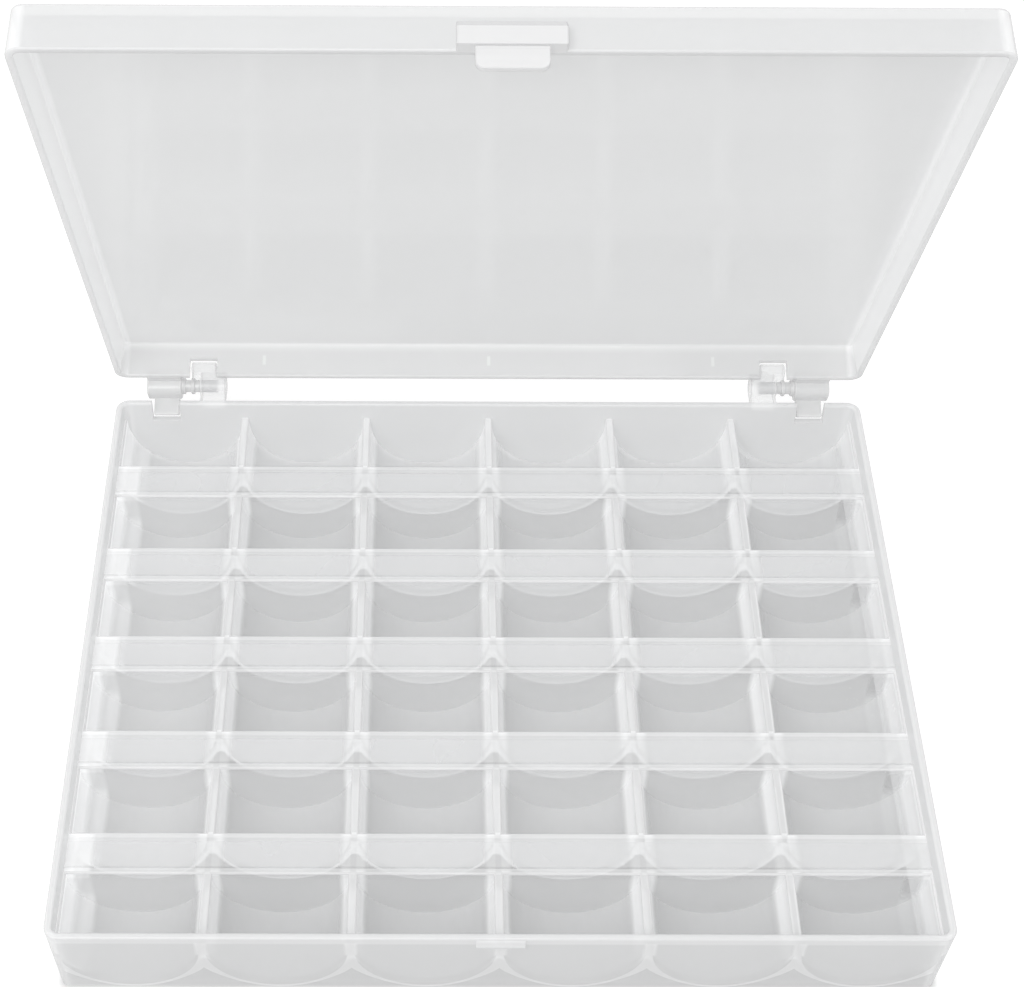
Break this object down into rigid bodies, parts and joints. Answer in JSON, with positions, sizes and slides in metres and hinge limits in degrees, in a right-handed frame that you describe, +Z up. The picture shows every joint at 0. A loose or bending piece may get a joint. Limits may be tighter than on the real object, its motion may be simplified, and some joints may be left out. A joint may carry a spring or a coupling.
{
  "type": "bobbin and thread box",
  "caption": "Shallow see-through plastic thread and bobbin box: a tray of round-bottomed cells under a hinged lid with a flexing front latch, standing open.",
  "frame": {"origin": "on the table, under the middle of the open box's outline", "axes": "+Z up, -Y to the front where the latch is, +X to the right seen from the front"},
  "size_m": [0.145, 0.1292, 0.1338],
  "materials": {
    "clear_plastic": "translucent, slightly frosted, uncoloured"
  },
  "bodies": {
    "tray": {"tray_shell": "clear_plastic", "cell_row_1": "clear_plastic", "cell_row_2": "clear_plastic", "cell_row_3": "clear_plastic", "cell_row_4": "clear_plastic", "cell_row_5": "clear_plastic", "cell_row_6": "clear_plastic", "row_bridge_1": "clear_plastic", "row_bridge_2": "clear_plastic", "row_bridge_3": "clear_plastic", "row_bridge_4": "clear_plastic", "row_bridge_5": "clear_plastic", "hinge_bracket_left": "clear_plastic", "hinge_bracket_right": "clear_plastic", "latch_catch": "clear_plastic"},
    "lid": {"lid_shell": "clear_plastic", "lid_knuckle_left": "clear_plastic", "lid_knuckle_right": "clear_plastic", "latch_pad": "clear_plastic"},
    "latch": {"latch_tab": "clear_plastic"}
  },
  "joints": [
    {"name": "lid_hinge", "type": "hinge", "parent": "tray", "child": "lid", "pos_m": [0, 0.05874, 0.0171], "axis": [-1, 0, 0], "range_deg": [-68, 112]},
    {"name": "latch_flex", "type": "hinge", "parent": "lid", "child": "latch", "pos_m": [0, 0.01179, 0.13198], "axis": [-1, 0, 0], "range_deg": [0, 18], "stiffness_Nm_per_rad": 0.06}
  ]
}
